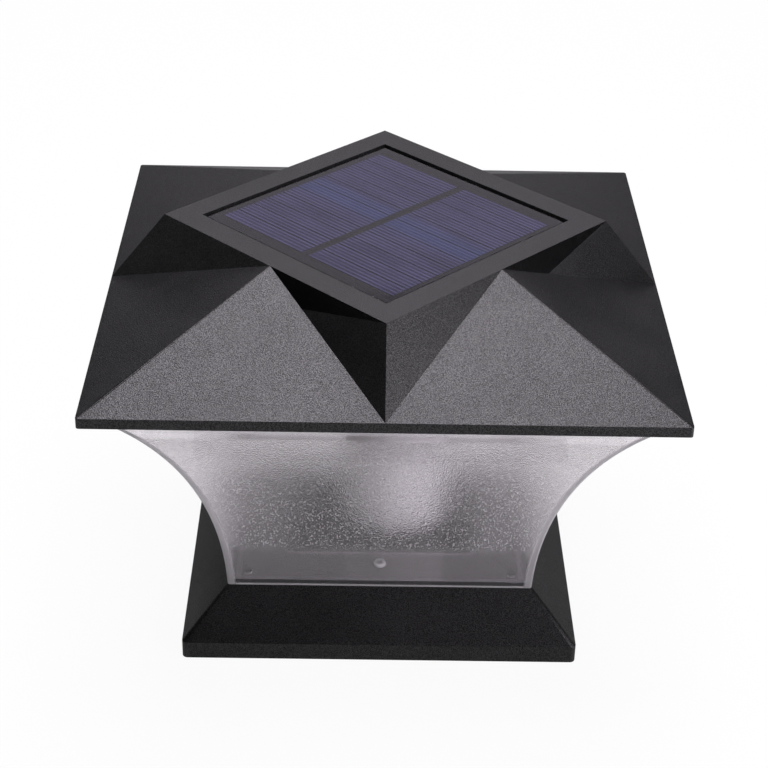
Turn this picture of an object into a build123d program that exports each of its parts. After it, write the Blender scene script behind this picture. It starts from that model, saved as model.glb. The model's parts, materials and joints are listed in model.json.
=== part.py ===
from build123d import *
from math import atan2, cos, sqrt
import os

# Square solar pillar lamp, in millimetres.
# The origin is the centre of the foot's underside, +Z is up and the front faces -Y.

os.makedirs("parts", exist_ok=True)

# Foot: a hollow black moulding with sloping faces and a well in its top
foot_side = 180.0
base_shoulder = 20.0  # how far each sloping face leans in
base_rim_height = 8.5
base_height = 27.0
base_wall = 2.6
base_corner = 2.5
base_rib = 1.8
rib_offset = 32.0
rib_lift = 2.0
flange_width = 25.0  # from the shade's outer face to the well's edge
well_floor = 3.0
well_wall = 2.4
well_corner = 4.0
mount_hole = 5.5
mount_edge = 13.0  # from a mounting hole's centre to the well's side
mount_pad = 12.0
mount_pad_height = 1.5
peg_radius = 2.0
peg_proud = 0.6
peg_inset = 9.0  # from the shade's outer face to a locating peg's centre
groove_inset = 3.5
groove_width = 2.5
groove_depth = 1.2

# Shade: clear, with four concave walls
shade_height = 117.6
shade_curve = 188.0  # radius of each wall's arc
shade_wall = 2.2
shade_floor = 2.4
shade_corner = 1.2
flange_screw_inset = 10.0  # from the well's edge to a flange screw
flange_screw_length = 12.0
flange_boss_wall = 2.2
eave = 6.5  # how far the roof overhangs the shade's mouth

# Roof: a hipped square pyramid crossed by a pyramid turned by 45 degrees
roof_side = 250.0
rim_height = 4.7
roof_rise = 32.0
roof_wall = 2.6
rim_corner = 1.3
crown_border = 12.0  # width of the flat frame round the solar panel
pocket_floor = 2.2
roof_rib = 1.6
roof_rib_depth = 3.5
boss_radius = 4.0
boss_inset = 25.0
boss_grip = 7.0  # length of a roof screw inside its boss

# Solar panel: board, two columns of cell strips and a clear laminate
panel_side = 113.5
panel_gap = 1.6
panel_recess = 1.0
panel_board_thickness = 1.6
cell_thickness = 0.3
laminate_cover = 0.7
tape_thickness = 0.4
tape_width = 8.0
tape_inset = 3.0
cell_rows = 11
cell_spacing = 0.5
cell_divider = 4.3
cell_end_margin = 3.3
cell_side_margin = 6.7
lead_hole = 6.0

# Plate that closes the roof from below
plate_thickness = 2.2
plate_gap = 0.4
plate_recess = 1.5
seal_thickness = 1.2
seal_margin = 1.0
plinth_depth = 6.0
plinth_wall = 1.8
plinth_gap = 0.9

# White light tube, its clamp ring and the light board that stands in it
tube_offset = 7.5  # how far right of the lamp's middle the tube hangs
tube_radius = 24.5
tube_wall = 1.8
tube_end_radius = 8.0
tube_tip_drop = 22.0  # from the tube's tip down to the well's floor
tube_flange = 4.0
tube_flange_thickness = 2.0
ring_width = 7.0
ring_floor = 2.0
ring_gap = 0.3
ring_chamfer = 0.6
ring_screws = 3
ring_boss_height = 5.0
led_board_turn = -13.0  # degrees about the tube's axis
led_board_gap = 4.0  # from the board's edges to the tube's wall and end
led_board_thickness = 1.6
led_rows = 6
led_columns = 2
led_side = 3.0
led_height = 0.9
led_edge = 10.0  # from the outer lights to the board's edges
led_holder_wall = 2.5
led_holder_height = 9.0

# Battery: one cylindrical cell in a bay
cell_diameter = 18.3
cell_length = 65.0
cell_button_radius = 2.8
cell_button_height = 0.8
cell_edge = 0.8
bay_clearance = 2.0  # from the tube's ring to the battery cover and to the control board
bay_gap = 0.5
bay_wall = 1.5
spring_length = 6.0
spring_strip = 0.4
contact_thickness = 0.8
contact_width = 10.0
contact_gap = 0.05
cover_thickness = 1.8
cover_lip = 1.0
cover_border = 3.0
cover_tab = 9.0
cover_corner = 3.0
cover_chamfer = 0.5
cover_screw_offset = 5.0  # from the bay's end to a cover screw
cover_boss_height = 6.0

# Control board and what is soldered to it
board_depth = 34.0
board_thickness = 1.6
board_corner = 2.0
standoff_height = 6.0
standoff_radius = 2.8
standoff_inset = 4.0
chip_length = 5.0
chip_width = 4.0
chip_height = 1.6
chip_pitch = 12.0
chip_setback = 6.0  # from the board's middle line towards the front
coil_radius = 4.6
coil_core_radius = 3.7
coil_flange = 1.2
coil_height = 6.0
coil_inset = 13.0  # from the board's end to the coil's axis
coil_setback = 5.0
capacitor_radius = 3.1
capacitor_height = 8.0
capacitor_edge = 0.5
capacitor_inset = 10.0  # from the board's end to the first capacitor's axis
capacitor_pitch = 7.0
capacitor_setback = 4.0
socket_width = 7.5
socket_depth = 5.8
socket_height = 6.0
socket_wall = 0.8
socket_base = 2.0
socket_pitch = 13.0
socket_count = 4
socket_edge = 1.0  # from the board's back edge to the sockets
socket_gap = 0.75  # from an end socket to the head of a board screw

# Push switch
switch_body_side = 13.0
switch_body_height = 10.0
switch_bush_radius = 6.0
switch_bush_drop = 6.5
switch_nut_thickness = 2.5
switch_nut_radius = 8.6
switch_gap = 3.0
button_radius = 4.2
button_gap = 0.3
button_flange = 0.9
button_flange_thickness = 1.2
button_proud = 3.5
button_travel = 2.0
button_dome = 1.2
chamber_floor = 0.5
chamber_slack = 0.4  # room above the button's flange when it is pressed
terminal_height = 4.0
terminal_width = 2.2
terminal_thickness = 0.6
terminal_pitch = 6.0

# Fasteners and leads
screw_shank = 2.8
screw_head = 5.6
screw_head_height = 1.9
small_shank = 2.0
small_head = 4.0
small_head_height = 1.4
head_rounding = 0.6  # share of a screw head's height that is rounded
screw_tip_gap = 1.0  # from a screw's tip to the end of its hole
pilot_gap = 0.1
clearance_gap = 0.6
lead_diameter = 2.4
lead_bend = 3.0
lead_rise = 5.0  # from the sockets' tops up to the leads' level runs
panel_lead_offset = 5.4
battery_lead_out = 8.0
battery_lead_run = 40.0

# Heights and sides worked out from the sizes above
shade_foot = foot_side - 2 * base_shoulder
well_side = shade_foot - 2 * flange_width
mount_spacing = well_side - 2 * mount_edge
shade_top = base_height + shade_height
shade_mouth = roof_side - 2 * eave
plate_low = shade_top + seal_thickness
plate_top = plate_low + plate_thickness
roof_low = plate_low - plate_recess
rim_top = roof_low + rim_height
crown = rim_top + roof_rise
window_side = panel_side + 2 * panel_gap
crown_side = window_side + 2 * crown_border
panel_thickness = panel_board_thickness + cell_thickness + laminate_cover
pocket_depth = panel_recess + panel_thickness + tape_thickness
pocket_low = crown - pocket_depth
panel_low = pocket_low + tape_thickness
cell_low = panel_low + panel_board_thickness
tube_middle = (tube_offset, 0)
flange_radius = tube_radius + tube_flange
ring_radius = flange_radius + ring_width
board_y = -(ring_radius + bay_clearance + board_depth / 2)
socket_y = board_y + board_depth / 2 - socket_edge - socket_depth / 2
socket_spots = [
    (socket_pitch * (index - (socket_count - 1) / 2), socket_y) for index in range(socket_count)
]
battery_socket, panel_socket, led_socket, switch_socket = socket_spots
panel_lead_x = panel_socket[0]
panel_lead_y = socket_y + panel_lead_offset
CENTRE_MIN = (Align.CENTER, Align.CENTER, Align.MIN)
CENTRE_MAX = (Align.CENTER, Align.CENTER, Align.MAX)


def finish(builder, name):
    """Labels a finished piece and writes it to its own file."""
    builder.part.label = name
    export_step(builder.part, f"parts/{name}.step")


def pan_screw(shank, head, head_height, length):
    """A round-headed screw that points up, with its head's seat at the origin."""
    with BuildPart() as screw:
        Cylinder(head / 2, head_height, align=CENTRE_MAX)
        fillet(screw.edges().sort_by(Axis.Z)[0], head_height * head_rounding)
        Cylinder(shank / 2, length, align=CENTRE_MIN)
    return screw.part


def sides(distance):
    """Four spots on the X and Y axes."""
    return [(distance, 0), (0, distance), (-distance, 0), (0, -distance)]


def corners(distance):
    """Four spots on the diagonals."""
    return [(x, y) for x in (-distance, distance) for y in (-distance, distance)]


def at_height(spots, z):
    return [(x, y, z) for x, y in spots]


# Foot
base_slope_height = base_height - base_rim_height
base_slope_lift = base_wall / cos(atan2(base_slope_height, base_shoulder))
base_knee = base_rim_height + base_wall * base_slope_height / base_shoulder - base_slope_lift
ledge_low = base_height - base_wall
flange_screw_line = well_side / 2 + flange_screw_inset
flange_boss_radius = screw_shank / 2 + flange_boss_wall
flange_hole_depth = flange_screw_length - shade_floor + screw_tip_gap
flange_boss_depth = flange_hole_depth - base_wall + flange_boss_wall
peg_line = shade_foot / 2 - peg_inset
groove_side = shade_foot - 2 * groove_inset


def base_half(z):
    """Half side of the foot's sloping outer face at height z."""
    return foot_side / 2 - (z - base_rim_height) * base_shoulder / base_slope_height


with BuildPart() as base_cavity:
    with BuildSketch(Plane.XY):
        Rectangle(foot_side - 2 * base_wall, foot_side - 2 * base_wall)
    extrude(amount=base_knee)
    with BuildSketch(Plane.XY.offset(base_knee)):
        Rectangle(foot_side - 2 * base_wall, foot_side - 2 * base_wall)
    with BuildSketch(Plane.XY.offset(ledge_low)):
        top_side = 2 * base_half(ledge_low + base_slope_lift)
        Rectangle(top_side, top_side)
    loft(ruled=True)
    with BuildSketch(Plane.XY):
        block_side = well_side + 2 * well_wall
        RectangleRounded(block_side, block_side, well_corner + well_wall)
    extrude(amount=base_height, mode=Mode.SUBTRACT)
    rib_height = ledge_low - rib_lift
    with Locations(*at_height([(0, -rib_offset), (0, rib_offset)], rib_lift)):
        Box(foot_side, base_rib, rib_height, align=CENTRE_MIN, mode=Mode.SUBTRACT)
    with Locations(*at_height([(-rib_offset, 0), (rib_offset, 0)], rib_lift)):
        Box(base_rib, foot_side, rib_height, align=CENTRE_MIN, mode=Mode.SUBTRACT)
    with Locations(*at_height(sides(flange_screw_line), ledge_low)):
        Cylinder(flange_boss_radius, flange_boss_depth, align=CENTRE_MAX, mode=Mode.SUBTRACT)

with BuildPart() as base_housing:
    with BuildSketch(Plane.XY):
        RectangleRounded(foot_side, foot_side, base_corner)
    extrude(amount=base_rim_height)
    with BuildSketch(Plane.XY.offset(base_rim_height)):
        RectangleRounded(foot_side, foot_side, base_corner)
    with BuildSketch(Plane.XY.offset(base_height)):
        RectangleRounded(shade_foot, shade_foot, shade_corner)
    loft(ruled=True)
    add(base_cavity.part, mode=Mode.SUBTRACT)
    with BuildSketch(Plane.XY.offset(well_floor)):
        RectangleRounded(well_side, well_side, well_corner)
    extrude(amount=base_height, mode=Mode.SUBTRACT)
    with BuildSketch(Plane.XY.offset(base_height - groove_depth)):
        Rectangle(groove_side, groove_side)
        Rectangle(groove_side - 2 * groove_width, groove_side - 2 * groove_width, mode=Mode.SUBTRACT)
    extrude(amount=groove_depth, mode=Mode.SUBTRACT)
    with Locations(*at_height(corners(peg_line), ledge_low)):
        Cylinder(peg_radius, base_wall + shade_floor + peg_proud, align=CENTRE_MIN)
    with Locations(*at_height(corners(mount_spacing / 2), well_floor)):
        Cylinder(mount_pad / 2, mount_pad_height, align=CENTRE_MIN)
    with Locations(*at_height(corners(mount_spacing / 2), 0)):
        Cylinder(mount_hole / 2, base_height, align=CENTRE_MIN, mode=Mode.SUBTRACT)
    with Locations(*at_height(sides(flange_screw_line), base_height)):
        Cylinder(
            (screw_shank + pilot_gap) / 2,
            flange_hole_depth,
            align=CENTRE_MAX,
            mode=Mode.SUBTRACT,
        )
finish(base_housing, "base_housing")

with BuildPart() as shade_seal:
    with BuildSketch(Plane.XY.offset(base_height - groove_depth)):
        Rectangle(groove_side, groove_side)
        Rectangle(groove_side - 2 * groove_width, groove_side - 2 * groove_width, mode=Mode.SUBTRACT)
    extrude(amount=groove_depth)
finish(shade_seal, "shade_seal")

# Shade: each wall is one arc, concave outwards, and the walls meet in mitred corners
chord_x = (shade_mouth - shade_foot) / 2
chord = sqrt(chord_x**2 + shade_height**2)
curve_offset = sqrt(shade_curve**2 - (chord / 2) ** 2)
curve_x = (shade_foot + shade_mouth) / 4 + curve_offset * shade_height / chord
curve_z = base_height + shade_height / 2 - curve_offset * chord_x / chord


def shade_half(z, inset=0.0):
    """Half width of the shade at height z, measured inset from its outer face."""
    return curve_x - sqrt((shade_curve + inset) ** 2 - (z - curve_z) ** 2)


def shade_profile(low, inset):
    """Closed outline of the shade seen from the front, from height low to its mouth."""
    middle = (low + shade_top) / 2
    with BuildLine() as outline:
        right = ThreePointArc(
            (shade_half(low, inset), low),
            (shade_half(middle, inset), middle),
            (shade_half(shade_top, inset), shade_top),
        )
        left = ThreePointArc(
            (-shade_half(low, inset), low),
            (-shade_half(middle, inset), middle),
            (-shade_half(shade_top, inset), shade_top),
        )
        Line(right @ 0, left @ 0)
        Line(right @ 1, left @ 1)
    return outline.line


def shade_block(low, inset):
    """Solid block with the shade's four curved faces."""
    outline = shade_profile(low, inset)
    with BuildPart() as block:
        with BuildSketch(Plane.XZ):
            add(outline)
            make_face()
        extrude(amount=shade_mouth, both=True)
        with BuildSketch(Plane.YZ):
            add(outline)
            make_face()
        extrude(amount=shade_mouth, both=True, mode=Mode.INTERSECT)
    return block.part


shade_outside = shade_block(base_height, 0)
shade_inside = shade_block(base_height + shade_floor, shade_wall)

with BuildPart() as shade:
    add(shade_outside)
    wall_corners = shade.edges().filter_by(
        lambda edge: abs(abs(edge.center().X) - abs(edge.center().Y)) < 0.01
        and edge.bounding_box().size.Z > shade_height / 2
    )
    fillet(wall_corners, shade_corner)
    add(shade_inside, mode=Mode.SUBTRACT)
    with BuildSketch(Plane.XY.offset(base_height)):
        RectangleRounded(well_side, well_side, well_corner)
    extrude(amount=shade_floor, mode=Mode.SUBTRACT)
    with Locations(*at_height(sides(flange_screw_line), base_height)):
        Cylinder(
            (screw_shank + clearance_gap) / 2, shade_floor, align=CENTRE_MIN, mode=Mode.SUBTRACT
        )
    with Locations(*at_height(corners(peg_line), base_height)):
        Cylinder(peg_radius + pilot_gap, shade_floor, align=CENTRE_MIN, mode=Mode.SUBTRACT)
finish(shade, "shade")

flange_screw = pan_screw(screw_shank, screw_head, screw_head_height, flange_screw_length)
with BuildPart() as shade_screws:
    with Locations(*at_height(sides(flange_screw_line), base_height + shade_floor)):
        add(flange_screw, rotation=(180, 0, 0))
finish(shade_screws, "shade_screws")

# Roof
hip_top = crown_side * sqrt(2) / 2
hip_run = (roof_side - hip_top) / 2
hip_lift = roof_wall / cos(atan2(roof_rise, hip_run))
diamond_low = roof_side * sqrt(2) / 2
diamond_run = (diamond_low - crown_side) / 2
diamond_lift = roof_wall / cos(atan2(roof_rise, diamond_run))
cavity_side = roof_side - 2 * roof_wall
cavity_top = pocket_low - pocket_floor
cavity_knee = rim_top + roof_wall * roof_rise / hip_run - hip_lift
boss_line = roof_side / 2 - boss_inset
boss_spots = corners(boss_line) + sides(boss_line)
plate_screw_length = plate_thickness + boss_grip


def hip_side(z):
    """Side of the hipped pyramid's outer face at height z."""
    return roof_side - (z - rim_top) * 2 * hip_run / roof_rise


def diamond_side(z):
    """Side of the turned pyramid's outer face at height z."""
    return diamond_low - (z - rim_top) * 2 * diamond_run / roof_rise


with BuildPart() as roof_cavity:
    with BuildSketch(Plane.XY.offset(roof_low)):
        Rectangle(cavity_side, cavity_side)
    extrude(amount=cavity_knee - roof_low)
    with BuildSketch(Plane.XY.offset(cavity_knee)):
        Rectangle(cavity_side, cavity_side)
    with BuildSketch(Plane.XY.offset(cavity_top)):
        Rectangle(hip_side(cavity_top + hip_lift), hip_side(cavity_top + hip_lift))
    loft(ruled=True)
    with BuildSketch(Plane.XY.offset(rim_top)):
        side = diamond_side(rim_top + diamond_lift)
        Rectangle(side, side, rotation=45)
    with BuildSketch(Plane.XY.offset(cavity_top)):
        side = diamond_side(cavity_top + diamond_lift)
        Rectangle(side, side, rotation=45)
    loft(ruled=True)
    with Locations(*at_height(boss_spots, plate_top)):
        Cylinder(boss_radius, crown, align=CENTRE_MIN, mode=Mode.SUBTRACT)
    rib_spots = [Location((0, 0, cavity_top), (0, 0, angle)) for angle in (45, -45)]
    with Locations(*rib_spots):
        Box(
            roof_side,
            roof_rib,
            roof_rib_depth,
            align=CENTRE_MAX,
            mode=Mode.SUBTRACT,
        )

with BuildPart() as roof_cap:
    with BuildSketch(Plane.XY.offset(roof_low)):
        Rectangle(roof_side, roof_side)
    extrude(amount=rim_height)
    fillet(roof_cap.edges().filter_by(Axis.Z), rim_corner)
    with BuildSketch(Plane.XY.offset(rim_top)):
        RectangleRounded(roof_side, roof_side, rim_corner)
    with BuildSketch(Plane.XY.offset(crown)):
        RectangleRounded(hip_top, hip_top, rim_corner / 4)
    loft(ruled=True)
    with BuildSketch(Plane.XY.offset(rim_top)):
        Rectangle(diamond_low, diamond_low, rotation=45)
    with BuildSketch(Plane.XY.offset(crown)):
        Rectangle(crown_side, crown_side, rotation=45)
    loft(ruled=True)
    add(roof_cavity.part, mode=Mode.SUBTRACT)
    with BuildSketch(Plane.XY.offset(pocket_low)):
        Rectangle(window_side, window_side, rotation=45)
    extrude(amount=pocket_depth, mode=Mode.SUBTRACT)
    with Locations((panel_lead_x, panel_lead_y, cavity_top)):
        Cylinder(lead_hole / 2, pocket_floor, align=CENTRE_MIN, mode=Mode.SUBTRACT)
    with Locations(*at_height(boss_spots, plate_top)):
        Cylinder(
            (screw_shank + pilot_gap) / 2,
            boss_grip + screw_tip_gap,
            align=CENTRE_MIN,
            mode=Mode.SUBTRACT,
        )
finish(roof_cap, "roof_cap")

# Solar panel, turned by 45 degrees in the crown
panel_plane = Plane.XY.rotated((0, 0, -45))
strip_pitch = (panel_side - 2 * cell_side_margin) / cell_rows
strip_length = (panel_side - 2 * cell_end_margin - cell_divider) / 2
strip_width = strip_pitch - cell_spacing

with BuildPart() as panel_tape:
    with BuildSketch(panel_plane.offset(pocket_low)):
        outer = panel_side - 2 * tape_inset
        Rectangle(outer, outer)
        Rectangle(outer - 2 * tape_width, outer - 2 * tape_width, mode=Mode.SUBTRACT)
    extrude(amount=tape_thickness)
finish(panel_tape, "panel_tape")

with BuildPart() as panel_board:
    with BuildSketch(panel_plane.offset(panel_low)):
        Rectangle(panel_side, panel_side)
    extrude(amount=panel_board_thickness)
finish(panel_board, "panel_board")

with BuildPart() as solar_cells:
    with BuildSketch(panel_plane.offset(cell_low)):
        with GridLocations(strip_length + cell_divider, strip_pitch, 2, cell_rows):
            Rectangle(strip_length, strip_width)
    extrude(amount=cell_thickness)
finish(solar_cells, "solar_cells")

with BuildPart() as panel_laminate:
    with BuildSketch(panel_plane.offset(cell_low)):
        Rectangle(panel_side, panel_side)
    extrude(amount=cell_thickness + laminate_cover)
    add(solar_cells.part, mode=Mode.SUBTRACT)
finish(panel_laminate, "panel_laminate")

# Light tube and the ring that clamps it under the plate
ring_screw_circle = (flange_radius + ring_gap + ring_radius) / 2
ring_low = plate_low - tube_flange_thickness - ring_floor
tube_tip = well_floor + tube_tip_drop
led_board_width = 2 * (tube_radius - tube_wall - led_board_gap)
led_board_low = tube_tip + tube_wall + led_board_gap
led_holder_low = plate_low - led_holder_height
led_tongue_width = led_board_width - 2 * led_holder_wall
led_pitch_y = (led_board_width - 2 * led_edge) / (led_columns - 1)
led_pitch_z = (led_holder_low - led_board_low - 2 * led_edge) / (led_rows - 1)
led_middle = (led_holder_low + led_board_low) / 2
ring_screw_length = plate_top + ring_boss_height - screw_tip_gap - ring_low

with BuildPart() as tube_bore:
    with Locations((*tube_middle, tube_tip + tube_wall)):
        Cylinder(tube_radius - tube_wall, plate_low - tube_tip - tube_wall, align=CENTRE_MIN)
    fillet(tube_bore.edges().sort_by(Axis.Z)[0], tube_end_radius - tube_wall)

with BuildPart() as diffuser_tube:
    with Locations((*tube_middle, tube_tip)):
        Cylinder(tube_radius, plate_low - tube_tip, align=CENTRE_MIN)
    fillet(diffuser_tube.edges().sort_by(Axis.Z)[0], tube_end_radius)
    with Locations((*tube_middle, plate_low)):
        Cylinder(flange_radius, tube_flange_thickness, align=CENTRE_MAX)
    add(tube_bore.part, mode=Mode.SUBTRACT)
finish(diffuser_tube, "diffuser_tube")

with BuildPart() as diffuser_ring:
    with Locations((*tube_middle, ring_low)):
        Cylinder(ring_radius, plate_low - ring_low, align=CENTRE_MIN)
        Cylinder(
            tube_radius + ring_gap, plate_low - ring_low, align=CENTRE_MIN, mode=Mode.SUBTRACT
        )
    with Locations((*tube_middle, plate_low)):
        Cylinder(
            flange_radius + ring_gap, tube_flange_thickness, align=CENTRE_MAX, mode=Mode.SUBTRACT
        )
    with Locations((*tube_middle, ring_low)):
        with PolarLocations(ring_screw_circle, ring_screws, start_angle=90):
            Cylinder(
                (screw_shank + clearance_gap) / 2,
                plate_low - ring_low,
                align=CENTRE_MIN,
                mode=Mode.SUBTRACT,
            )
    chamfer(diffuser_ring.edges().group_by(Axis.Z)[0].sort_by(SortBy.LENGTH)[-1], ring_chamfer)
finish(diffuser_ring, "diffuser_ring")

ring_screw = pan_screw(screw_shank, screw_head, screw_head_height, ring_screw_length)
with BuildPart() as diffuser_screws:
    with Locations((*tube_middle, ring_low)):
        with PolarLocations(ring_screw_circle, ring_screws, start_angle=90):
            add(ring_screw)
finish(diffuser_screws, "diffuser_screws")

with BuildPart() as led_holder:
    with Locations(Location((*tube_middle, plate_low), (0, 0, led_board_turn))):
        Box(
            led_board_thickness + 2 * led_holder_wall,
            led_board_width,
            led_holder_height,
            align=CENTRE_MAX,
        )
    fillet(led_holder.edges().filter_by(Axis.Z), led_holder_wall / 2)
    with Locations(Location((*tube_middle, led_holder_low), (0, 0, led_board_turn))):
        Box(
            led_board_thickness + pilot_gap,
            led_tongue_width,
            led_holder_height - led_holder_wall,
            align=CENTRE_MIN,
            mode=Mode.SUBTRACT,
        )
    with Locations((*tube_middle, plate_low)):
        Cylinder(
            lead_diameter / 2 + pilot_gap, led_holder_wall, align=CENTRE_MAX, mode=Mode.SUBTRACT
        )
finish(led_holder, "led_holder")

# The board has shoulders below its holder and a narrower tongue inside it
with BuildPart() as led_board:
    with Locations(Location((*tube_middle, led_board_low), (0, 0, led_board_turn))):
        Box(
            led_board_thickness,
            led_board_width,
            led_holder_low - led_board_low,
            align=CENTRE_MIN,
        )
    with Locations(Location((*tube_middle, led_holder_low), (0, 0, led_board_turn))):
        Box(
            led_board_thickness,
            led_tongue_width - pilot_gap,
            led_holder_height - led_holder_wall,
            align=CENTRE_MIN,
        )
finish(led_board, "led_board")

with BuildPart() as led_chips:
    for face_turn in (0, 180):
        with Locations(Location((*tube_middle, led_middle), (0, 0, led_board_turn + face_turn))):
            with Locations(Plane.YZ.offset(led_board_thickness / 2)):
                with GridLocations(led_pitch_y, led_pitch_z, led_columns, led_rows):
                    Box(led_side, led_side, led_height, align=CENTRE_MIN)
finish(led_chips, "led_chips")

# Battery bay, behind the tube's ring
bay_length = spring_length + cell_length + contact_thickness
bay_width = cell_diameter + 2 * bay_gap
cover_width = bay_width + 2 * cover_border
battery_y = ring_radius + bay_clearance + cover_width / 2
battery_low = plate_low + cover_lip + bay_gap / 2
battery_z = battery_low + cell_diameter / 2
battery_start = -bay_length / 2 + spring_length
bay_top = battery_low + cell_diameter + bay_gap / 2
cover_screw_x = bay_length / 2 + cover_screw_offset
cover_screw_length = cover_thickness + plate_thickness + cover_boss_height - screw_tip_gap

# Push switch, to the right of the tube's ring
switch_x = tube_offset + ring_radius + switch_gap + switch_nut_radius
bush_low = plate_low - switch_bush_drop
chamber_low = plate_top + chamber_floor
chamber_high = chamber_low + button_flange_thickness + button_travel + chamber_slack
button_top_radius = button_radius + button_flange

# Control board, at the front of the roof
socket_row = (socket_count - 1) * socket_pitch + socket_width
board_width = socket_row + 2 * (standoff_inset + small_head / 2 + socket_gap)
board_low = plate_top + standoff_height
board_top = board_low + board_thickness
standoff_x = board_width / 2 - standoff_inset
standoff_y = board_depth / 2 - standoff_inset
standoff_spots = [
    (x, board_y + y) for x in (-standoff_x, standoff_x) for y in (-standoff_y, standoff_y)
]

# Plate
plate_side = min(cavity_side, hip_side(plate_top + hip_lift)) - 2 * plate_gap
plinth_low = plate_low - plinth_depth
plinth_side = 2 * (shade_half(plinth_low, shade_wall) - plinth_gap)

with BuildPart() as head_plate:
    with BuildSketch(Plane.XY.offset(plate_low)):
        Rectangle(plate_side, plate_side)
    extrude(amount=plate_thickness)
    with BuildSketch(Plane.XY.offset(plate_low)):
        Rectangle(plinth_side, plinth_side)
        Rectangle(plinth_side - 2 * plinth_wall, plinth_side - 2 * plinth_wall, mode=Mode.SUBTRACT)
    extrude(amount=-plinth_depth)
    with Locations((0, battery_y, plate_low)):
        Box(
            bay_length + 2 * bay_wall,
            bay_width + 2 * bay_wall,
            bay_top + bay_wall - plate_low,
            align=CENTRE_MIN,
        )
    with Locations(*at_height([(-cover_screw_x, battery_y), (cover_screw_x, battery_y)], plate_low)):
        Cylinder(boss_radius, plate_thickness + cover_boss_height, align=CENTRE_MIN)
    with Locations((0, battery_y, plate_low)):
        Box(bay_length, bay_width, bay_top - plate_low, align=CENTRE_MIN, mode=Mode.SUBTRACT)
    with Locations(*at_height(standoff_spots, plate_top)):
        Cylinder(standoff_radius, standoff_height, align=CENTRE_MIN)
        Cylinder(
            (small_shank + pilot_gap) / 2, standoff_height, align=CENTRE_MIN, mode=Mode.SUBTRACT
        )
    with Locations((*tube_middle, plate_top)):
        with PolarLocations(ring_screw_circle, ring_screws, start_angle=90):
            Cylinder(boss_radius, ring_boss_height, align=CENTRE_MIN)
    with Locations((*tube_middle, plate_low)):
        with PolarLocations(ring_screw_circle, ring_screws, start_angle=90):
            Cylinder(
                (screw_shank + pilot_gap) / 2,
                plate_thickness + ring_boss_height,
                align=CENTRE_MIN,
                mode=Mode.SUBTRACT,
            )
    with Locations(*at_height([(-cover_screw_x, battery_y), (cover_screw_x, battery_y)], plate_low)):
        Cylinder(
            (screw_shank + pilot_gap) / 2,
            plate_thickness + cover_boss_height,
            align=CENTRE_MIN,
            mode=Mode.SUBTRACT,
        )
    with Locations(*at_height(boss_spots, plate_low)):
        Cylinder(
            (screw_shank + clearance_gap) / 2, plate_thickness, align=CENTRE_MIN, mode=Mode.SUBTRACT
        )
    with Locations((switch_x, 0, plate_low)):
        Cylinder(
            switch_bush_radius + pilot_gap, plate_thickness, align=CENTRE_MIN, mode=Mode.SUBTRACT
        )
    with Locations((*tube_middle, plate_low)):
        Cylinder(lead_diameter / 2 + ring_gap, plate_thickness, align=CENTRE_MIN, mode=Mode.SUBTRACT)
finish(head_plate, "head_plate")

plate_screw = pan_screw(screw_shank, screw_head, screw_head_height, plate_screw_length)
with BuildPart() as head_plate_screws:
    with Locations(*at_height(boss_spots, plate_low)):
        add(plate_screw)
finish(head_plate_screws, "head_plate_screws")

with BuildPart() as mouth_seal:
    with BuildSketch(Plane.XY.offset(shade_top)):
        outer = shade_mouth + 2 * seal_margin
        inner = 2 * (shade_half(shade_top, shade_wall) - seal_margin)
        Rectangle(outer, outer)
        Rectangle(inner, inner, mode=Mode.SUBTRACT)
    extrude(amount=seal_thickness)
finish(mouth_seal, "mouth_seal")

# Battery and its contacts
with BuildPart() as battery_cell:
    with BuildSketch(Plane.YZ.offset(battery_start)):
        with Locations((battery_y, battery_z)):
            Circle(cell_diameter / 2)
    extrude(amount=cell_length - cell_button_height)
    fillet(battery_cell.edges().filter_by(GeomType.CIRCLE), cell_edge)
    with BuildSketch(Plane.YZ.offset(battery_start + cell_length - cell_button_height)):
        with Locations((battery_y, battery_z)):
            Circle(cell_button_radius)
    extrude(amount=cell_button_height)
finish(battery_cell, "battery_cell")

with BuildPart() as battery_spring:
    with BuildSketch(Plane.XZ.offset(-battery_y)):
        with BuildLine():
            low_end = (-bay_length / 2, battery_z - contact_width / 2)
            high_end = (-bay_length / 2, battery_z + contact_width / 2)
            ThreePointArc(low_end, (battery_start - contact_gap, battery_z), high_end)
            inner_low = (-bay_length / 2, battery_z - contact_width / 2 + spring_strip)
            inner_high = (-bay_length / 2, battery_z + contact_width / 2 - spring_strip)
            inner_mid = (battery_start - contact_gap - spring_strip, battery_z)
            ThreePointArc(inner_low, inner_mid, inner_high)
            Line(low_end, inner_low)
            Line(high_end, inner_high)
        make_face()
    extrude(amount=contact_width / 2, both=True)
finish(battery_spring, "battery_spring")

with BuildPart() as battery_contact:
    with Locations((bay_length / 2 - contact_thickness / 2, battery_y, battery_z)):
        Box(contact_thickness, contact_width, contact_width)
finish(battery_contact, "battery_contact")

with BuildPart() as battery_cover:
    with BuildSketch(Plane.XY.offset(plate_low)):
        with Locations((0, battery_y)):
            RectangleRounded(bay_length + 2 * cover_tab, cover_width, cover_corner)
    extrude(amount=-cover_thickness)
    chamfer(battery_cover.faces().sort_by(Axis.Z)[0].edges(), cover_chamfer)
    with Locations((0, battery_y, plate_low)):
        Box(bay_length - 2 * bay_gap, bay_width - 2 * bay_gap, cover_lip, align=CENTRE_MIN)
    with Locations(*at_height([(-cover_screw_x, battery_y), (cover_screw_x, battery_y)], plate_low)):
        Cylinder(
            (screw_shank + clearance_gap) / 2, cover_thickness, align=CENTRE_MAX, mode=Mode.SUBTRACT
        )
finish(battery_cover, "battery_cover")

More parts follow.
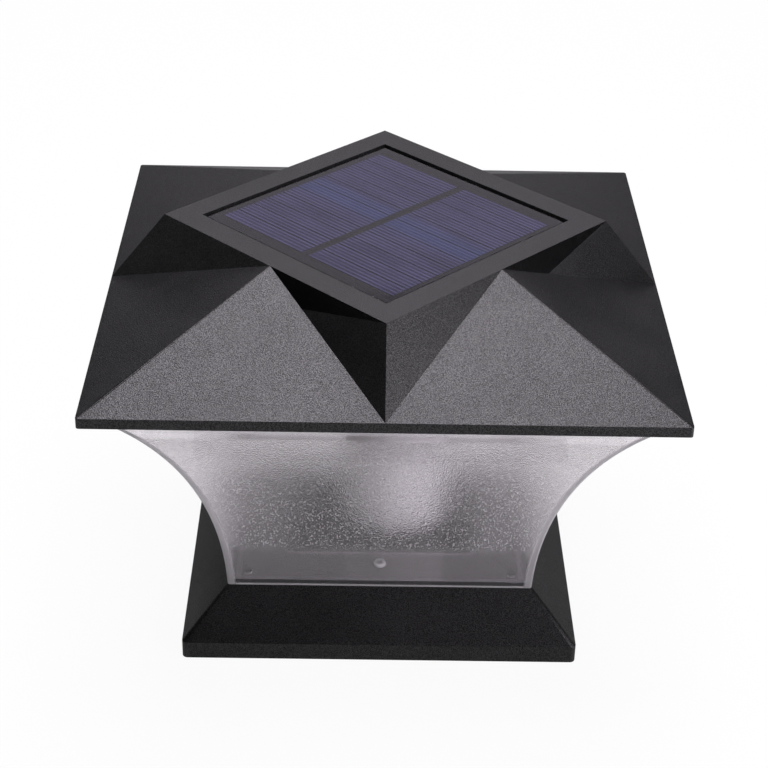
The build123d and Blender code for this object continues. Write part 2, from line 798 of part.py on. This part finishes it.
cover_screw = pan_screw(screw_shank, screw_head, screw_head_height, cover_screw_length)
with BuildPart() as battery_cover_screws:
    cover_screw_low = plate_low - cover_thickness
    with Locations(
        (-cover_screw_x, battery_y, cover_screw_low), (cover_screw_x, battery_y, cover_screw_low)
    ):
        add(cover_screw)
finish(battery_cover_screws, "battery_cover_screws")

# Control board
socket_top = board_top + socket_height
small_screw_length = board_thickness + standoff_height - screw_tip_gap

with BuildPart() as control_board:
    with BuildSketch(Plane.XY.offset(board_low)):
        with Locations((0, board_y)):
            RectangleRounded(board_width, board_depth, board_corner)
    extrude(amount=board_thickness)
    with Locations(*at_height(standoff_spots, board_low)):
        Cylinder(
            (small_shank + clearance_gap) / 2,
            board_thickness,
            align=CENTRE_MIN,
            mode=Mode.SUBTRACT,
        )
finish(control_board, "control_board")

small_screw = pan_screw(small_shank, small_head, small_head_height, small_screw_length)
with BuildPart() as control_board_screws:
    with Locations(*at_height(standoff_spots, board_top)):
        add(small_screw, rotation=(180, 0, 0))
finish(control_board_screws, "control_board_screws")

with BuildPart() as board_chips:
    chip_spots = [(side * chip_pitch / 2, board_y - chip_setback) for side in (-1, 1)]
    with Locations(*at_height(chip_spots, board_top)):
        Box(chip_length, chip_width, chip_height, align=CENTRE_MIN)
finish(board_chips, "board_chips")

with BuildPart() as board_coil:
    coil_spot = (board_width / 2 - coil_inset, board_y - coil_setback)
    with Locations((*coil_spot, board_top)):
        Cylinder(coil_radius, coil_flange, align=CENTRE_MIN)
        Cylinder(coil_core_radius, coil_height, align=CENTRE_MIN)
    with Locations((*coil_spot, board_top + coil_height)):
        Cylinder(coil_radius, coil_flange, align=CENTRE_MAX)
finish(board_coil, "board_coil")

with BuildPart() as board_capacitors:
    capacitor_x = capacitor_inset - board_width / 2
    capacitor_spots = [
        (capacitor_x, board_y - capacitor_setback),
        (capacitor_x + capacitor_pitch, board_y - capacitor_setback),
    ]
    with Locations(*at_height(capacitor_spots, board_top)):
        Cylinder(capacitor_radius, capacitor_height, align=CENTRE_MIN)
    fillet(board_capacitors.edges().group_by(Axis.Z)[-1], capacitor_edge)
finish(board_capacitors, "board_capacitors")

with BuildPart() as board_sockets:
    with Locations(*at_height(socket_spots, board_top)):
        Box(socket_width, socket_depth, socket_height, align=CENTRE_MIN)
    with Locations(*at_height(socket_spots, board_top + socket_base)):
        Box(
            socket_width - 2 * socket_wall,
            socket_depth - 2 * socket_wall,
            socket_height,
            align=CENTRE_MIN,
            mode=Mode.SUBTRACT,
        )
finish(board_sockets, "board_sockets")

# Push switch
with BuildPart() as switch_housing:
    with Locations((switch_x, 0, plate_top)):
        Box(switch_body_side, switch_body_side, switch_body_height, align=CENTRE_MIN)
    with Locations((switch_x, 0, bush_low)):
        Cylinder(switch_bush_radius, plate_top - bush_low, align=CENTRE_MIN)
        Cylinder(
            button_radius + button_gap,
            chamber_high - bush_low,
            align=CENTRE_MIN,
            mode=Mode.SUBTRACT,
        )
    with Locations((switch_x, 0, chamber_low)):
        Cylinder(
            button_top_radius + button_gap,
            chamber_high - chamber_low,
            align=CENTRE_MIN,
            mode=Mode.SUBTRACT,
        )
finish(switch_housing, "switch_housing")

with BuildPart() as switch_nut:
    with BuildSketch(Plane.XY.offset(plate_low)):
        with Locations((switch_x, 0)):
            RegularPolygon(switch_nut_radius, 6)
            Circle(switch_bush_radius + pilot_gap / 2, mode=Mode.SUBTRACT)
    extrude(amount=-switch_nut_thickness)
finish(switch_nut, "switch_nut")

with BuildPart() as switch_terminals:
    terminal_spots = [(switch_x, side * terminal_pitch / 2) for side in (-1, 1)]
    with Locations(*at_height(terminal_spots, plate_top + switch_body_height)):
        Box(terminal_width, terminal_thickness, terminal_height, align=CENTRE_MIN)
finish(switch_terminals, "switch_terminals")

with BuildPart() as power_button:
    with Locations((switch_x, 0, bush_low - button_proud)):
        Cylinder(
            button_radius,
            chamber_low + button_flange_thickness - bush_low + button_proud,
            align=CENTRE_MIN,
        )
    fillet(power_button.edges().sort_by(Axis.Z)[0], button_dome)
    with Locations((switch_x, 0, chamber_low)):
        Cylinder(button_top_radius, button_flange_thickness, align=CENTRE_MIN)
finish(power_button, "power_button")

# Internal leads, each one jacketed cable that ends in a socket on the control board
lead_arch = socket_top + lead_rise


def lead(points):
    """A round cable along straight runs joined by bends."""
    with BuildPart() as cable:
        with BuildLine() as path:
            if len(points) > 2:
                FilletPolyline(*points, radius=lead_bend)
            else:
                Line(*points)
        with BuildSketch(Plane(path.line @ 0, z_dir=path.line % 0)):
            Circle(lead_diameter / 2)
        sweep()
    return cable


socket_inside = board_top + socket_base
panel_lead = lead(
    [
        (panel_lead_x, panel_lead_y, panel_low),
        (panel_lead_x, panel_lead_y, lead_arch),
        (*panel_socket, lead_arch - lead_diameter),
        (*panel_socket, socket_inside),
    ]
)
finish(panel_lead, "panel_lead")

led_lead = lead(
    [
        (*tube_middle, plate_low - led_holder_wall),
        (*tube_middle, lead_arch),
        (*led_socket, lead_arch),
        (*led_socket, socket_inside),
    ]
)
finish(led_lead, "led_lead")

bay_end = -bay_length / 2 - bay_wall
battery_lead = lead(
    [
        (bay_end, battery_y, battery_z),
        (bay_end - battery_lead_out, battery_y, battery_z),
        (bay_end - battery_lead_out, battery_y - battery_lead_run, lead_arch),
        (*battery_socket, lead_arch),
        (*battery_socket, socket_inside),
    ]
)
finish(battery_lead, "battery_lead")

switch_lead = lead(
    [
        (switch_x, 0, plate_top + switch_body_height),
        (switch_x, 0, lead_arch),
        (*switch_socket, lead_arch),
        (*switch_socket, socket_inside),
    ]
)
finish(switch_lead, "switch_lead")
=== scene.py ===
import json
from math import cos, pi, radians, sin

import bmesh
import bpy
from mathutils import Matrix, Vector


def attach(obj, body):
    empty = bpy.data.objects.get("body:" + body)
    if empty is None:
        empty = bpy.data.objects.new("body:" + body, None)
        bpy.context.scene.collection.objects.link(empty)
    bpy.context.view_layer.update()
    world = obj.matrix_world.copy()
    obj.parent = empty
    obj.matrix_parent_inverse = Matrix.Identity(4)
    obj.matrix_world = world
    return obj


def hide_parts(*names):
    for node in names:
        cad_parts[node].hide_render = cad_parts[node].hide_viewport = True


# Square solar pillar lamp. Lengths are in metres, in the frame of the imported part.

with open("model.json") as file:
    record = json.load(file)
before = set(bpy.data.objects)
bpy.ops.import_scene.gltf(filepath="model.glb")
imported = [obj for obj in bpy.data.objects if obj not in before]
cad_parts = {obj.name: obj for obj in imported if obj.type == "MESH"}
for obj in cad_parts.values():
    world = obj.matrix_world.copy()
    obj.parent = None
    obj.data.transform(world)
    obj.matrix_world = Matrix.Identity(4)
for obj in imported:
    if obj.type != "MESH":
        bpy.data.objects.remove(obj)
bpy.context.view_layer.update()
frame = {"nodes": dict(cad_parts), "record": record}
nodes = frame["nodes"]

MM = 0.001
MAUVE = (1.02, 0.98, 1.03)  # the slight cast of the photograph's blacks and clears

# Heights on the shade between which each of its finishes fades in or out
FLANGE_TOP = (29.6 * MM, 29.8 * MM)
# The foot and lip lines are painted highlights: hazier, lighter lines for light caught at the
# shade's foot and just under the eave.
FOOT_HIGHLIGHT_LINE = (27.8 * MM, 28.3 * MM)
LIP_HIGHLIGHT_LINE = (132.4 * MM, 133.0 * MM)
PEBBLES_TOP = (129.0 * MM, 125.5 * MM)
PEBBLES_LOW_FRONT = 47 * MM
PEBBLES_LOW_ELSEWHERE = 30 * MM
PEBBLE_SIZE = 0.72 * MM
PEBBLE_SQUASH = 0.72  # below 1, the pebbles are taller than wide

# The light tube, and the turn of the upright board in it
TUBE_MIDDLE = 7.5 * MM
TUBE_TURN = radians(-13)

# The solar cells, in the panel's own axes
FINGER_PITCH = 2.275 * MM
FINGER_START = 50.05 * MM
CELL_BAND_MIDDLE = 2.5 * MM

# No two points of one screw are farther apart than this, seen along it
SCREW_REACH = 7 * MM

# Each lamp's name, direction from the object, distance, width, height and radiance
LAMPS = (
    ("overhead", (0.0, 0.21, 0.98), 1.3, 1.0, 1.16, 6.3),
    ("backdrop", (0.0, 0.95, 0.30), 1.3, 1.2, 0.7, 0.5),
    ("side", (0.76, -0.62, 0.22), 0.8, 0.65, 0.6, 3.2),
)
LAMP_AIM = Vector((0, 0, 0.1))
LAMP_TINT = (1.0, 0.95, 1.03)


def add_camera():
    """Camera at the photograph's angle."""
    elevation = radians(30.5326)
    yaw = radians(-0.805)
    roll = radians(1.249)
    target = Vector((0.000887, 0, 0.09375))
    distance = 0.90344
    back = Vector((sin(yaw) * cos(elevation), -cos(yaw) * cos(elevation), sin(elevation)))
    level = (-back).cross(Vector((0, 0, 1))).normalized()
    upright = level.cross(-back)
    right = level * cos(roll) + upright * sin(roll)
    up = upright * cos(roll) - level * sin(roll)
    data = bpy.data.cameras.new("camera")
    data.sensor_width = 36
    data.lens = 89.34
    data.clip_start = 0.01
    camera = bpy.data.objects.new("camera", data)
    turn = Matrix((right, up, back)).transposed().to_4x4()
    camera.matrix_world = Matrix.Translation(target + back * distance) @ turn
    bpy.context.scene.collection.objects.link(camera)
    bpy.context.scene.camera = camera


# Node trees

class Tree:
    """Builds one material or world, node by node."""

    def __init__(self, owner):
        owner.use_nodes = True
        self.tree = owner.node_tree
        self.tree.nodes.clear()

    def fill(self, socket, value):
        """Gives a socket a number, a colour or another node's output."""
        if isinstance(value, bpy.types.NodeSocket):
            self.tree.links.new(value, socket)
        else:
            socket.default_value = value

    def add(self, kind, inputs=None, **settings):
        node = self.tree.nodes.new(kind)
        for name, value in settings.items():
            setattr(node, name, value)
        for name, value in (inputs or {}).items():
            self.fill(node.inputs[name], value)
        return node

    def place(self):
        """Coordinates of a point in the part's own frame, in metres."""
        return self.add("ShaderNodeTexCoord").outputs["Object"]

    def axes(self, place):
        return self.add("ShaderNodeSeparateXYZ", {0: place}).outputs

    def mapped(self, place, **settings):
        inputs = {"Vector": place}
        inputs.update(settings)
        return self.add("ShaderNodeMapping", inputs).outputs[0]

    def math(self, operation, a, b=0.0):
        return self.add("ShaderNodeMath", {0: a, 1: b}, operation=operation).outputs[0]

    def plus(self, a, b):
        return self.math("ADD", a, b)

    def minus(self, a, b):
        return self.math("SUBTRACT", a, b)

    def times(self, a, b):
        return self.math("MULTIPLY", a, b)

    def most(self, a, b):
        return self.math("MAXIMUM", a, b)

    def size_of(self, value):
        return self.math("ABSOLUTE", value)

    def noise(self, place, size, detail=2.0, roughness=0.5):
        """Noise from 0 to 1 with features of about the given size."""
        inputs = {"Vector": place, "Scale": 1 / size, "Detail": detail, "Roughness": roughness}
        return self.add("ShaderNodeTexNoise", inputs).outputs["Fac"]

    def spread(self, value, low, high, start, end):
        """Carries value from the range low..high to start..end."""
        inputs = {
            "Value": value,
            "From Min": low,
            "From Max": high,
            "To Min": start,
            "To Max": end,
        }
        return self.add("ShaderNodeMapRange", inputs, clamp=True).outputs["Result"]

    def vary(self, noise, start, end):
        """Carries a noise's usual range to start..end."""
        return self.spread(noise, 0.3, 0.7, start, end)

    def blend(self, share, first, second):
        """A colour between two colours."""
        node = self.add("ShaderNodeMix", data_type="RGBA")
        for socket, value in ((0, share), (6, first), (7, second)):
            self.fill(node.inputs[socket], value)
        return node.outputs[2]

    def bump(self, height, distance, strength=1.0):
        inputs = {"Height": height, "Distance": distance, "Strength": strength}
        return self.add("ShaderNodeBump", inputs).outputs["Normal"]

    def principled(self, **settings):
        """The main shader. An underscore in a setting's name stands for a space."""
        inputs = {name.replace("_", " "): value for name, value in settings.items()}
        return self.add("ShaderNodeBsdfPrincipled", inputs).outputs[0]

    def mix(self, share, first, second):
        """A shader between two shaders."""
        return self.add("ShaderNodeMixShader", {0: share, 1: first, 2: second}).outputs[0]

    def light_path(self):
        return self.add("ShaderNodeLightPath").outputs

    def output(self, shader, kind="ShaderNodeOutputMaterial"):
        self.add(kind, {"Surface": shader})


def new_material(name):
    material = bpy.data.materials.new(name)
    return material, Tree(material)


def grey(level, tint=(1.0, 1.0, 1.0)):
    return (level * tint[0], level * tint[1], level * tint[2], 1.0)


def through_for_lamps(t, shader, tint):
    """Lets the lamps' light pass, as real clear plastic does."""
    clear = t.add("ShaderNodeBsdfTransparent", {"Color": tint}).outputs[0]
    return t.mix(t.light_path()["Is Shadow Ray"], shader, clear)


# Materials

def black_plastic():
    """Grained black ABS, as moulded for garden lamps."""
    material, t = new_material("black_plastic")
    place = t.place()
    fine = t.noise(place, 0.55 * MM, 1.5, 0.6)
    specks = t.noise(place, 0.42 * MM, 1.0, 0.6)
    broad = t.noise(place, 22 * MM, 3.0, 0.6)
    worn = t.vary(broad, 0.0, 1.0)
    t.output(t.principled(
        Base_Color=t.blend(worn, grey(0.004, MAUVE), grey(0.007, MAUVE)),
        Roughness=t.plus(t.vary(broad, 0.37, 0.42), t.vary(fine, 0.0, 0.05)),
        IOR=1.53,
        Specular_IOR_Level=t.spread(specks, 0.36, 0.64, 0.20, 0.82),
        Normal=t.bump(fine, 0.20 * MM),
    ))
    return material


def wall_sides(t, axes):
    """Masks of the shade's inner and outer faces, by which way they face from its middle."""
    face = t.add("ShaderNodeNewGeometry").outputs
    level = t.add("ShaderNodeCombineXYZ", {"X": axes["X"], "Y": axes["Y"]}).outputs[0]
    facing = t.add(
        "ShaderNodeVectorMath", {0: face["True Normal"], 1: level}, operation="DOT_PRODUCT"
    ).outputs["Value"]
    side = t.times(facing, t.spread(face["Backfacing"], 0.0, 1.0, 1.0, -1.0))
    inside = t.math("LESS_THAN", side, 0.0001)
    return inside, t.minus(1.0, inside)


def pebble_belt(t, axes):
    """Mask of the belt round the walls that carries the pebbles."""
    front = t.minus(t.times(axes["Y"], -1.0), t.size_of(axes["X"]))
    low = t.spread(front, 0.0, 1 * MM, PEBBLES_LOW_ELSEWHERE, PEBBLES_LOW_FRONT)
    lower = t.spread(t.minus(axes["Z"], low), 0.0, 3 * MM, 0.0, 1.0)
    upper = t.spread(axes["Z"], *PEBBLES_TOP, 0.0, 1.0)
    return t.times(lower, upper)


def wall_edges(t, axes, outside):
    """Masks of the walls' corners, which take painted shade, and of those together with the foot
    and lip lines, which take painted highlights.
    """
    skew = t.minus(t.size_of(axes["X"]), t.size_of(axes["Y"]))
    painted_corner_shade = t.times(t.spread(t.size_of(skew), 3.0 * MM, 4.2 * MM, 1.0, 0.0), outside)
    # Painted highlights: hazier lines at the foot and just under the eave.
    painted_foot_highlight = t.spread(axes["Z"], *FOOT_HIGHLIGHT_LINE, 0.75, 0.0)
    painted_lip_highlight = t.spread(axes["Z"], *LIP_HIGHLIGHT_LINE, 0.0, 0.5)
    return painted_corner_shade, t.most(painted_corner_shade, t.times(t.most(painted_foot_highlight, painted_lip_highlight), outside))


def pebbles(t, tall, band):
    """Relief of the pebbles inside the walls."""
    wavy = t.minus(t.noise(tall, 0.50 * MM, 1.0, 0.5), 0.5)
    cells = t.add(
        "ShaderNodeTexVoronoi", {"Vector": tall, "Scale": 1 / PEBBLE_SIZE}, feature="SMOOTH_F1"
    ).outputs["Distance"]
    cells = t.times(t.minus(cells, 0.45), 0.6)
    return t.bump(t.times(t.plus(wavy, cells), band), 0.15 * MM)


def painted_flange_light(t, axes, inside):
    """Haze on the floor flange that grows towards the back, painted in so that the back of the
    floor reads lighter.
    """
    flange = t.times(t.spread(axes["Z"], *FLANGE_TOP, 1.0, 0.0), inside)
    return t.times(flange, t.spread(axes["Y"], 20 * MM, 40 * MM, 0.08, 0.35))


def clear_plastic():
    """Clear polycarbonate: smooth outside, and pebbled inside between two smooth bands, with
    painted light and shade in its haze and colour.
    """
    material, t = new_material("clear_plastic")
    place = t.place()
    axes = t.axes(place)
    inside, outside = wall_sides(t, axes)
    belt = pebble_belt(t, axes)
    painted_corner_shade, edge = wall_edges(t, axes, outside)
    tall = t.mapped(place, Scale=(1.0, 1.0, PEBBLE_SQUASH))
    # Painted shade: the corners take a greyer colour and more haze, standing in for the walls seen
    # edge-on there.
    wall_colour, painted_corner_colour = (0.985, 0.965, 0.985, 1.0), (0.60, 0.585, 0.60, 1.0)
    most_clear, painted_edge_haze, painted_glint_haze = 0.98, 0.42, 0.27
    least_rough, inside_rough, edge_rough = 0.04, 0.08, 0.30
    # Painted glints: hazy white specks on the outside of the pebble belt stand in for light
    # glinting from the pebbles.
    specks = t.spread(t.noise(tall, PEBBLE_SIZE, 1.0, 0.6), 0.49, 0.65, 0.0, painted_glint_haze)
    specks = t.times(t.times(specks, belt), outside)
    # The edge mask carries painted shade on the corners and painted highlights on the foot and lip
    # lines.
    clear = t.minus(most_clear, t.times(edge, painted_edge_haze))
    clear = t.minus(t.minus(clear, specks), painted_flange_light(t, axes, inside))
    rough = t.plus(t.times(inside, inside_rough), least_rough)
    shader = t.principled(
        Base_Color=t.blend(painted_corner_shade, wall_colour, painted_corner_colour),
        Roughness=t.plus(rough, t.times(edge, edge_rough)),
        IOR=1.5,
        Transmission_Weight=clear,
        Normal=pebbles(t, tall, t.times(belt, inside)),
    )
    t.output(through_for_lamps(t, shader, grey(0.975, MAUVE)))
    return material


def white_plastic():
    """Opal plastic that glows where light falls on its far side, with painted shade: its colour is
    darker left of the board.
    """
    material, t = new_material("white_plastic")
    place = t.place()
    axes = t.axes(place)
    fine = t.noise(place, 6 * MM, 3.0, 0.5)
    across = t.times(t.minus(axes["X"], TUBE_MIDDLE), cos(TUBE_TURN))
    across = t.plus(across, t.times(axes["Y"], sin(TUBE_TURN)))
    # Painted shade: a darker colour left of the upright board stands in for the board's shadow
    # inside the tube.
    painted_board_shade = t.spread(across, -0.3 * MM, 0.3 * MM, 0.90, 1.0)
    colour = t.blend(painted_board_shade, grey(0.0), t.blend(fine, grey(0.90), grey(0.95)))
    bump = t.bump(fine, 0.05 * MM, 0.3)
    glow_share = 0.60
    front = t.principled(Base_Color=colour, Roughness=0.35, Normal=bump)
    behind = t.add("ShaderNodeBsdfTranslucent", {"Color": colour, "Normal": bump}).outputs[0]
    t.output(t.mix(glow_share, front, behind))
    return material


def solar_cell():
    """Blue-violet silicon strips with fine metal fingers along them."""
    material, t = new_material("cell")
    place = t.mapped(t.place(), Rotation=(0.0, 0.0, radians(45)))
    axes = t.axes(place)
    row = t.times(t.plus(axes["Y"], FINGER_START), 1 / FINGER_PITCH)
    part = t.size_of(t.minus(t.math("FRACT", row), 0.5))
    finger = t.spread(part, 0.08, 0.20, 1.0, 0.0)
    along = t.mapped(place, Scale=(0.25, 1.0, 1.0))
    broken = t.spread(t.noise(along, 7 * MM, 2.0, 0.6), 0.30, 0.60, 0.45, 1.0)
    lines = t.times(finger, broken)
    crystal = t.vary(t.noise(along, 9 * MM, 2.0, 0.5), 0.0, 1.0)
    base = t.blend(crystal, (0.008, 0.006, 0.022, 1.0), (0.016, 0.013, 0.038, 1.0))
    from_band = t.size_of(t.minus(axes["Y"], CELL_BAND_MIDDLE))
    band = t.spread(from_band, 3 * MM, 11 * MM, 0.7, 0.0)
    base = t.blend(band, base, (0.010, 0.018, 0.060, 1.0))
    t.output(t.principled(
        Base_Color=t.blend(lines, base, (0.053, 0.052, 0.112, 1.0)),
        Roughness=t.spread(lines, 0.0, 1.0, 0.30, 0.45),
        Specular_IOR_Level=0.1,
        Normal=t.bump(lines, 0.03 * MM, 0.5),
    ))
    return material


def panel_face():
    """Clear resin over the strips, with faint ripples."""
    material, t = new_material("panel_face")
    place = t.place()
    ripple = t.noise(place, 6 * MM, 2.0, 0.5)
    fine = t.noise(place, 0.7 * MM, 2.0, 0.5)
    shader = t.principled(
        Base_Color=(0.96, 0.955, 0.97, 1.0),
        Roughness=t.vary(fine, 0.05, 0.09),
        IOR=1.33,
        Specular_IOR_Level=0.3,
        Transmission_Weight=1.0,
        Normal=t.bump(ripple, 0.05 * MM, 0.4),
    )
    t.output(through_for_lamps(t, shader, grey(0.97)))
    return material


def plain(name, colour, roughness=0.5, metallic=0.0, vary=0.15, size=4 * MM, **more):
    """A finish with some colour variation, wear in its gloss and fine relief."""
    material, t = new_material(name)
    place = t.place()
    coarse = t.noise(place, size, 3.0, 0.6)
    fine = t.noise(place, size / 6, 2.0, 0.5)
    dark = tuple(c * (1 - vary) for c in colour) + (1.0,)
    light = tuple(min(1.0, c * (1 + vary)) for c in colour) + (1.0,)
    t.output(t.principled(
        Base_Color=t.blend(t.vary(coarse, 0.0, 1.0), dark, light),
        Roughness=t.vary(fine, roughness * 0.85, roughness * 1.15),
        Metallic=metallic,
        Normal=t.bump(fine, 0.03 * MM, 0.5),
        **more,
    ))
    return material


# Floor, background and lamps

def white_floor():
    """White paper. Seen directly or through clear plastic it is the white background."""
    material, t = new_material("floor")
    path = t.light_path()
    paper = t.add("ShaderNodeBsdfDiffuse", {"Color": grey(0.78)}).outputs[0]
    seen = t.most(path["Is Camera Ray"], path["Is Transmission Ray"])
    seen_share, mirrored_share, least_glow = 0.94, 0.7, 0.35
    share = t.most(t.times(seen, seen_share), t.times(path["Is Glossy Ray"], mirrored_share))
    strength = t.most(seen, least_glow)
    glow = t.add("ShaderNodeEmission", {"Color": grey(1.0), "Strength": strength}).outputs[0]
    t.output(t.mix(share, paper, glow))
    return material


def add_floor():
    half_width, drop = 6.0, 0.2 * MM
    mesh = bpy.data.meshes.new("floor")
    shape = bmesh.new()
    bmesh.ops.create_grid(shape, x_segments=4, y_segments=4, size=half_width)
    shape.to_mesh(mesh)
    shape.free()
    floor = bpy.data.objects.new("floor", mesh)
    floor.location.z = -drop
    mesh.materials.append(white_floor())
    bpy.context.scene.collection.objects.link(floor)


def set_world():
    """White where it is seen, and dim grey for the light that it gives."""
    world = bpy.data.worlds.new("studio")
    bpy.context.scene.world = world
    t = Tree(world)
    path = t.light_path()
    seen = t.most(path["Is Camera Ray"], path["Is Transmission Ray"])
    for_light, for_mirrors = 0.26, 0.02
    dim = t.spread(path["Is Glossy Ray"], 0.0, 1.0, for_light, for_mirrors)
    sky = t.add("ShaderNodeBackground", {"Color": grey(1.0), "Strength": t.most(seen, dim)})
    t.output(sky.outputs[0], "ShaderNodeOutputWorld")


def add_lamp(name, direction, distance, width, height, radiance):
    """A soft box that shows the given radiance to the object."""
    data = bpy.data.lights.new(name, "AREA")
    data.shape = "RECTANGLE"
    data.size = width
    data.size_y = height
    data.energy = radiance * pi * width * height
    data.color = LAMP_TINT
    lamp = bpy.data.objects.new(name, data)
    away = Vector(direction).normalized()
    lamp.location = away * distance + LAMP_AIM
    lamp.rotation_euler = away.to_track_quat("Z", "Y").to_euler()
    lamp.visible_camera = False
    lamp.visible_transmission = False
    bpy.context.scene.collection.objects.link(lamp)


# Shapes

def soften(name, width, segments=2):
    """Rounds the sharp edges of a moulding."""
    shape = nodes[name]
    weld = shape.modifiers.new("weld", "WELD")
    weld.merge_threshold = 0.01 * MM
    flat = shape.modifiers.new("flat", "DECIMATE")
    flat.decimate_type = "DISSOLVE"
    flat.angle_limit = radians(1)
    edge = shape.modifiers.new("edge", "BEVEL")
    edge.width = width
    edge.segments = segments
    edge.limit_method = "ANGLE"
    edge.angle_limit = radians(20)
    edge.harden_normals = True


def embed(name):
    """Swells a piece a hair into the resin over it, so that no two faces coincide."""
    swell = nodes[name].modifiers.new("embed", "DISPLACE")
    swell.strength = 0.02 * MM
    swell.mid_level = 0.0


def screw_spots(name):
    """Middle, head radius, shank radius, head top, seat and tip of each screw in a CAD node."""
    groups = []
    for vertex in nodes[name].data.vertices:
        for group in groups:
            if (group[0].xy - vertex.co.xy).length < SCREW_REACH:
                group.append(vertex.co.copy())
                break
        else:
            groups.append([vertex.co.copy()])
    spots = []
    for group in groups:
        low_x, high_x = min(p.x for p in group), max(p.x for p in group)
        low_y, high_y = min(p.y for p in group), max(p.y for p in group)
        middle = Vector(((low_x + high_x) / 2, (low_y + high_y) / 2))
        head = (high_x - low_x + high_y - low_y) / 4
        reach = [((p.xy - middle).length, p.z) for p in group]
        wide = [z for radius, z in reach if radius > 0.97 * head]
        low, high = min(z for _, z in reach), max(z for _, z in reach)
        top, tip = (low, high) if max(wide) < (low + high) / 2 else (high, low)
        seat = max(wide) if top == low else min(wide)
        shank = min(radius for radius, z in reach if abs(z - tip) < 0.1 * MM)
        spots.append((middle, head, shank, top, seat, tip))
    return spots


def ring_of(shape, middle, radius, z, count=24):
    """A circle of vertices."""
    turns = [2 * pi * i / count for i in range(count)]
    return [
        shape.verts.new((middle.x + radius * cos(a), middle.y + radius * sin(a), z)) for a in turns
    ]


def cross_of(shape, middle, half, reach, turn, z):
    """The twelve corners of a cross, with arms of the given half width and length."""
    corners = [
        (reach, -half), (reach, half), (half, half), (half, reach),
        (-half, reach), (-half, half), (-reach, half), (-reach, -half),
        (-half, -half), (-half, -reach), (half, -reach), (half, -half),
    ]
    verts = []
    for x, y in corners:
        across = x * cos(turn) - y * sin(turn)
        along = x * sin(turn) + y * cos(turn)
        verts.append(shape.verts.new((middle.x + across, middle.y + along, z)))
    return verts


def skin(shape, upper, lower):
    """Faces between two loops of as many vertices."""
    for i in range(len(upper)):
        j = (i + 1) % len(upper)
        shape.faces.new((upper[i], upper[j], lower[j], lower[i]))


def loop_edges(loop):
    return [e for v in loop for e in v.link_edges if e.other_vert(v) in loop]


def add_screw(shape, middle, head, shank, top, seat, tip, turn):
    """A round-headed screw with a tapered cross recess."""
    way = 1 if tip > top else -1
    height = abs(seat - top)
    length = abs(tip - top)
    curve = 0.6 * height
    steps = [pi / 2 * k / 4 for k in range(5)]
    profile = [(head - curve + curve * sin(a), curve - curve * cos(a)) for a in steps]
    profile += [(head, height), (shank, height), (shank, length - shank), (0.25 * shank, length)]
    rings = [ring_of(shape, middle, radius, top + way * depth) for radius, depth in profile]
    for upper, lower in zip(rings, rings[1:]):
        skin(shape, upper, lower)
    shape.faces.new(rings[-1])
    half, reach = 0.13 * head, 0.50 * head
    taper, depth = 0.62, 0.55 * height
    mouth = cross_of(shape, middle, half, reach, turn, top)
    floor = cross_of(shape, middle, half * taper, reach * taper, turn, top + way * depth)
    skin(shape, mouth, floor)
    shape.faces.new(floor)
    rim = loop_edges(rings[0]) + loop_edges(mouth)
    bmesh.ops.triangle_fill(shape, edges=list(dict.fromkeys(rim)), use_beauty=True)


def fit_screws(name, body):
    """Screws with cross recesses, in the places and sizes of the plain CAD ones."""
    shape = bmesh.new()
    for number, spot in enumerate(screw_spots(name)):
        add_screw(shape, *spot, radians(25 + 47 * number))
    bmesh.ops.recalc_face_normals(shape, faces=shape.faces)
    mesh = bpy.data.meshes.new("crossed_" + name)
    shape.to_mesh(mesh)
    shape.free()
    mesh.polygons.foreach_set("use_smooth", [True] * len(mesh.polygons))
    mesh.set_sharp_from_angle(angle=radians(35))
    mesh.materials.append(finishes["steel"])
    screws = bpy.data.objects.new("crossed_" + name, mesh)
    bpy.context.scene.collection.objects.link(screws)
    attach(screws, body)
    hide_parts(name)


# The scene

add_camera()
set_world()
add_floor()
for lamp in LAMPS:
    add_lamp(*lamp)

finishes = {
    "black_plastic": black_plastic(),
    "clear_plastic": clear_plastic(),
    "opal": white_plastic(),
    "cell": solar_cell(),
    "panel_face": panel_face(),
    "seal": plain("seal", (0.09, 0.088, 0.09), 0.7, vary=0.6, size=3 * MM),
    "steel": plain("steel", (0.50, 0.50, 0.51), 0.42, 1.0, 0.08),
    "white_plastic": plain("white_moulding", (0.8, 0.8, 0.79), 0.4, vary=0.05),
    "panel_board": plain("panel_board", (0.008, 0.007, 0.009), 0.5, Specular_IOR_Level=0.1),
    "foam": plain("foam", (0.8, 0.8, 0.78), 0.9),
    "metal_board": plain("metal_board", (0.8, 0.8, 0.79), 0.5, vary=0.05),
    "light_chip": plain("light_chip", (0.85, 0.7, 0.25), 0.4),
    "battery": plain("battery", (0.10, 0.32, 0.55), 0.35),
    "contact": plain("contact", (0.75, 0.73, 0.70), 0.25, 1.0, 0.06),
    "circuit_board": plain("circuit_board", (0.03, 0.2, 0.08), 0.35),
    "black_part": plain("black_part", (0.02, 0.02, 0.022), 0.5),
    "copper": plain("copper", (0.65, 0.33, 0.16), 0.35, 1.0),
    "can": plain("can", (0.6, 0.6, 0.61), 0.3, 1.0),
    "socket": plain("socket", (0.75, 0.74, 0.70), 0.45),
    "lead": plain("lead", (0.03, 0.03, 0.033), 0.55),
    "button": plain("button", (0.5, 0.05, 0.04), 0.35),
}
for row in frame["record"]["subparts"]:
    finish = "opal" if row["node"] == "diffuser_tube" else row["material_slot"]
    data = nodes[row["node"]].data
    data.materials.clear()
    data.materials.append(finishes[finish])

soften("roof_cap", 0.5 * MM)
soften("base_housing", 0.5 * MM)
soften("panel_laminate", 0.25 * MM)
embed("panel_board")
embed("solar_cells")

fit_screws("shade_screws", "lamp_base")
for part in ("head_plate", "diffuser", "battery_cover", "control_board"):
    fit_screws(part + "_screws", "lamp_head")

bpy.context.scene.view_settings.view_transform = "Standard"
